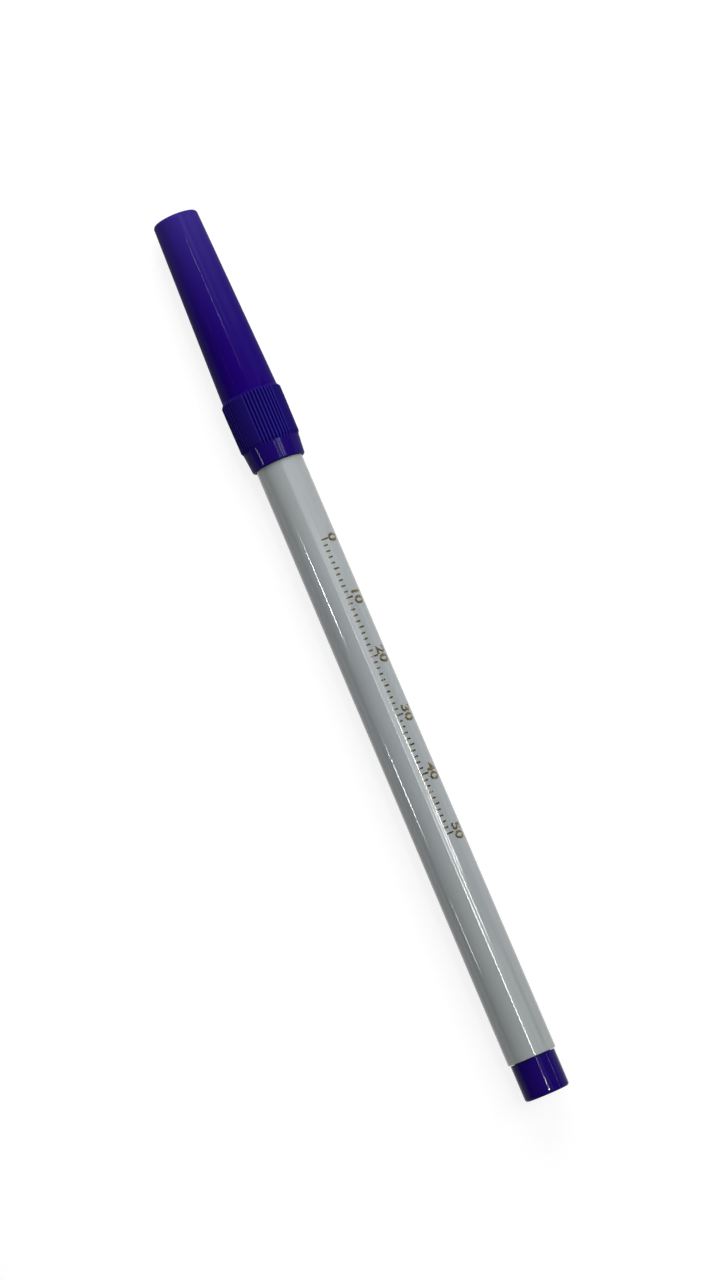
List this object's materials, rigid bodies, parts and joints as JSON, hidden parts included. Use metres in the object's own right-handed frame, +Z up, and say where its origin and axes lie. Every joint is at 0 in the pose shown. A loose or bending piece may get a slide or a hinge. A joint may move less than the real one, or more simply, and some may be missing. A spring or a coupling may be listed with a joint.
{
  "type": "fabric marking pen",
  "caption": "Slim round fibre-tip marking pen for fabric, closed by a tapered pull-off cap with a ribbed grip band and an inner sealing cup.",
  "frame": {"origin": "middle of the pen's length, on the surface it lies on, straight below the axis", "axes": "+X along the pen's axis towards the cap's end, +Z up from the surface, +Y to the left of the pen seen from its rear end"},
  "size_m": [0.15, 0.01, 0.01],
  "materials": {
    "violet_plastic": "moulded deep violet plastic, smooth gloss",
    "grey_plastic": "moulded light grey plastic, smooth gloss",
    "white_plastic": "natural white plastic, satin",
    "nib_fibre": "bonded fibre soaked with violet ink",
    "wick_fibre": "loose fibre bundle soaked with violet ink",
    "clear_film": "thin wrapping film",
    "tube_plastic": "fine extruded tube",
    "gold_foil": "hot-stamped gold foil, a few hundredths of a millimetre thick"
  },
  "bodies": {
    "pen_body": {"barrel": "grey_plastic", "end_plug": "violet_plastic", "nib_holder": "white_plastic", "nib": "nib_fibre", "ink_reservoir": "wick_fibre", "reservoir_film": "clear_film", "breather_tube": "tube_plastic"},
    "cap": {"cap_shell": "violet_plastic", "inner_cap": "white_plastic"}
  },
  "joints": [
    {"name": "cap_pull", "type": "slide", "parent": "pen_body", "child": "cap", "axis": [1, 0, 0], "range_m": [0, 0.045]}
  ]
}
